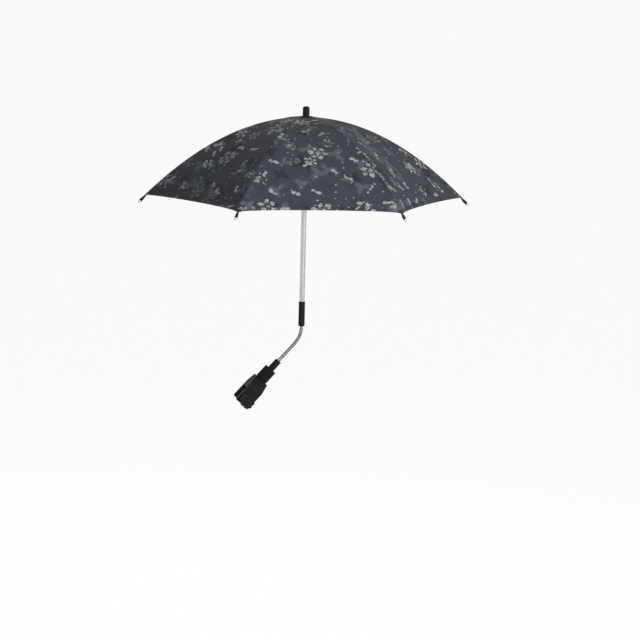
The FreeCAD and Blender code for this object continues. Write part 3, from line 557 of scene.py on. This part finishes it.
def makeTips(t):
    # a lathe form: a boot that widens to a straight collar, then the ball
    ball = np.linspace(-math.acos(t["waist"] / t["ball"]), math.radians(90), t["ballRows"])
    centre = t["length"] - t["ball"]
    neck = centre - math.sqrt(t["ball"] ** 2 - t["waist"] ** 2)
    # radius and place along the tip, from the boot's inner end to the neck of the ball
    collar = np.array([[t["bootMouth"], -t["bootLength"]],
                       [t["bootRadius"], -t["bootLength"]],
                       [t["cornerRadius"], -t["cornerReach"]],
                       [t["collar"] - t["bevel"], -t["bevelLength"]],
                       [t["collar"], t["bevelLength"]],
                       [t["collar"], neck - t["bevelLength"]],
                       [t["collar"] - t["bevel"], neck - t["neckGap"]]])
    end = np.stack([np.maximum(t["ball"] * np.cos(ball), t["pole"]), centre + t["ball"] * np.sin(ball)], -1)
    profile = np.concatenate([collar, end])
    grid = latheGrid(profile, t["columns"])
    faces = gridFaces(len(profile), t["columns"], wrap=True)
    metal = (np.arange(len(faces)) // t["columns"]) >= len(collar)
    low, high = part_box("rib_tip_1")
    slope = 2 * canopy["rise"] / canopy["radius"]
    out = np.array([1.0, 0, -slope]) / math.hypot(1, slope)
    up = np.cross(out, [0, 1.0, 0])
    across = np.cross(up, out)
    tilt = np.stack([across, up, out])
    tipEnd = np.array([high.x, 0, low.z])
    start = tipEnd - np.array([t["ball"], 0, -t["ball"]]) - out * centre - poleFoot
    placed = grid @ tilt + start
    for i in range(ribCount):
        tip = newPiece(f"ribTip{i + 1}", aboutPole(placed, i * stepAngle), faces, [blackNylon, nickel])
        tip.data.polygons.foreach_set("material_index", metal.astype(np.int32))
        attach(tip, f"arm_{i + 1}")
        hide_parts(f"rib_tip_{i + 1}")


makeTips(tipForm)
print("rib tips:", ribCount)

# Flexible arm: steel hose wound from one round-edged strip

hose = dict(radius=0.0036, groove=0.0006, pitch=0.0029, columns=36, perTurn=12, inside=0.004,
            rootExposed=0.002, tipExposed=0.008, pathSteps=400)


def makeHose(h):
    # one piece for each joint of the arm, from the middle of one link to the middle of the next
    joints = {j["name"]: j for j in frame["joints"]}
    names = sorted((n for n in joints if n.startswith("neck_")), key=lambda n: int(n.rsplit("_", 1)[1]))
    places = np.array([joints[n]["pos_m"] for n in names])
    rootWay = places[1] - places[0]
    rootWay /= np.linalg.norm(rootWay)
    first = places[0] - rootWay * (h["rootExposed"] + h["inside"])
    last = places[-1] + np.array([0, 0, h["tipExposed"] + h["inside"]])
    mids = np.concatenate([[first], (places[:-1] + places[1:]) / 2, [last]])
    angle = np.linspace(0, 2 * math.pi, h["columns"], endpoint=False)[None, :]
    t = np.linspace(0, 1, h["pathSteps"])[:, None]
    run = 0.0
    for j, corner in enumerate(places):
        # quadratic curve from a to b, bent at the joint
        a, b = mids[j], mids[j + 1]
        fine = (1 - t) ** 2 * a + 2 * t * (1 - t) * corner + t ** 2 * b
        length = np.concatenate([[0], np.cumsum(np.linalg.norm(np.diff(fine, axis=0), axis=1))])
        rows = int(length[-1] / h["pitch"] * h["perTurn"]) + 2
        s = np.linspace(0, length[-1], rows)
        share = np.interp(s, length, t[:, 0])[:, None]
        path = (1 - share) ** 2 * a + 2 * share * (1 - share) * corner + share ** 2 * b
        way = (1 - share) * (corner - a) + share * (b - corner)
        way /= np.linalg.norm(way, axis=1)[:, None]
        side = np.stack([-way[:, 2], 0 * way[:, 0], way[:, 0]], -1)
        # the strip's crown is a half round, and its edges meet in a groove that winds along the hose
        turn = ((run + s)[:, None] / h["pitch"] - angle / (2 * math.pi)) % 1.0
        radius = h["radius"] - h["groove"] * (1 - np.sqrt(np.clip(1 - (2 * turn - 1) ** 4, 0, 1)))
        spoke = np.cos(angle)[..., None] * side[:, None, :] + np.sin(angle)[..., None] * np.array([0, 1.0, 0])
        grid = path[:, None, :] + radius[..., None] * spoke
        piece = newPiece(f"hose{j + 1}", grid, gridFaces(rows, h["columns"], wrap=True)[:, ::-1], hoseSteel)
        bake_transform(piece)
        stands = ["gooseneck_root"] if j == 0 else []
        stands.append("gooseneck_tip" if j == len(places) - 1 else f"gooseneck_link_{j + 1}")
        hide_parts(*stands)
        run += length[-1]
    return run


hoseLength = makeHose(hose)
print("hose:", round(hoseLength, 4), "metres")

# Camera at the photograph's angle: degrees, metres, and pixels to a metre at the aim

shot = dict(azimuth=-6.805, elevation=8.103, roll=1.301, distance=8.0, scale=476.25,
            aim=(0.1555, 0.0, 0.1642), pictureWidth=640, sensorWidth=36.0, clipEnd=150.0)


def makeCamera(s):
    # the camera stands back from the aim along azimuth and elevation, then rolls about its own axis
    data = bpy.data.cameras.new("studioCamera")
    data.sensor_width = s["sensorWidth"]
    data.lens = s["scale"] * s["distance"] / s["pictureWidth"] * s["sensorWidth"]
    data.clip_end = s["clipEnd"]
    camera = bpy.data.objects.new("studioCamera", data)
    bpy.context.scene.collection.objects.link(camera)
    a, e = math.radians(s["azimuth"]), math.radians(s["elevation"])
    back = Vector((math.sin(a) * math.cos(e), -math.cos(a) * math.cos(e), math.sin(e)))
    turn = (-back).to_track_quat("-Z", "Y").to_matrix() @ Matrix.Rotation(math.radians(s["roll"]), 3, "Z")
    camera.matrix_world = Matrix.Translation(Vector(s["aim"]) + back * s["distance"]) @ turn.to_4x4()
    bpy.context.scene.camera = camera


makeCamera(shot)

# Studio: white surroundings, a pale floor far below, and soft lamps placed from a point on the pole's line

studio = dict(floorDrop=0.75, floorSize=90.0, floorTone="#F4F4F3", floorGlow=0.94, worldLight=0.22,
              lampsFrom=0.2, lampsAim=0.25,      # heights above the frame's origin and above the pole's foot
              lamps=(dict(name="keySoftbox", power=145.0, size=1.6, place=(1.45, -2.75, 1.2), glints=True),
                     dict(name="fillSoftbox", power=4.0, size=1.6, place=(-2.2, -1.6, 1.0), glints=True),
                     dict(name="topSoftbox", power=8.0, size=1.8, place=(0.1, 0.6, 2.6), glints=True),
                     dict(name="backSoftbox", power=60.0, size=1.6, place=(-0.5, 3.0, 1.5), glints=False)))
white = (1, 1, 1, 1)


def seenDirectly(tree):
    # 1 for the rays that show a surface: from the camera, a mirror or glass
    ray = addNode(tree, "ShaderNodeLightPath").outputs
    seen = addNode(tree, "ShaderNodeMath", {0: ray["Is Camera Ray"], 1: ray["Is Glossy Ray"]},
                   operation="MAXIMUM")
    through = addNode(tree, "ShaderNodeMath", {0: seen.outputs[0], 1: ray["Is Transmission Ray"]},
                      operation="MAXIMUM")
    return through.outputs[0]


def makeWorld(s):
    # white where it is seen, and a low even light on the object
    world = bpy.data.worlds.new("whiteStudio")
    bpy.context.scene.world = world
    world.use_nodes = True
    tree = world.node_tree
    level = addNode(tree, "ShaderNodeMapRange",
                    {"Value": seenDirectly(tree), "To Min": s["worldLight"], "To Max": 1.0})
    sky = tree.nodes["Background"]
    sky.inputs["Color"].default_value = white
    tree.links.new(level.outputs[0], sky.inputs["Strength"])


def makeFloor(s):
    # pale and plain, nearly white where it is seen, with a little of the object's shadow
    corners = np.array([[-1, -1, 0], [1, -1, 0], [1, 1, 0], [-1, 1, 0]]) * s["floorSize"] / 2
    corners[:, 2] = cadBox[0].z - s["floorDrop"]
    finish, tree, shader = startFinish("paleFloor", Roughness=0.9)
    shader.inputs["Base Color"].default_value = linear(s["floorTone"])
    glow = addNode(tree, "ShaderNodeEmission", {"Color": white, "Strength": 1.0})
    share = addNode(tree, "ShaderNodeMath", {0: seenDirectly(tree), 1: s["floorGlow"]}, operation="MULTIPLY")
    mixed = addNode(tree, "ShaderNodeMixShader",
                    {0: share.outputs[0], 1: shader.outputs[0], 2: glow.outputs[0]})
    # clear from beneath, so that low views see the underside of the canopy
    beneath = addNode(tree, "ShaderNodeNewGeometry").outputs["Backfacing"]
    clear = addNode(tree, "ShaderNodeBsdfTransparent")
    sided = addNode(tree, "ShaderNodeMixShader", {0: beneath, 1: mixed.outputs[0], 2: clear.outputs[0]})
    tree.links.new(sided.outputs[0], tree.nodes["Material Output"].inputs["Surface"])
    floor = newPiece("paleFloor", corners, [[0, 1, 2, 3]], finish, smooth=False)


def makeLamps(s):
    # square softboxes, all turned towards the pole
    middle = Vector(poleFoot) + Vector((0, 0, s["lampsAim"]))
    for one in s["lamps"]:
        lamp = bpy.data.lights.new(one["name"], "AREA")
        lamp.energy = one["power"]
        lamp.size = one["size"]
        holder = bpy.data.objects.new(one["name"], lamp)
        bpy.context.scene.collection.objects.link(holder)
        holder.location = Vector(one["place"]) + Vector((poleFoot[0], 0, s["lampsFrom"]))
        holder.visible_glossy = one["glints"]      # the lamp behind lends light but no glints
        holder.rotation_euler = (middle - holder.location).to_track_quat("-Z", "Y").to_euler()


makeWorld(studio)
makeFloor(studio)
makeLamps(studio)
bpy.context.scene.view_settings.view_transform = "Standard"
print("studio ready")
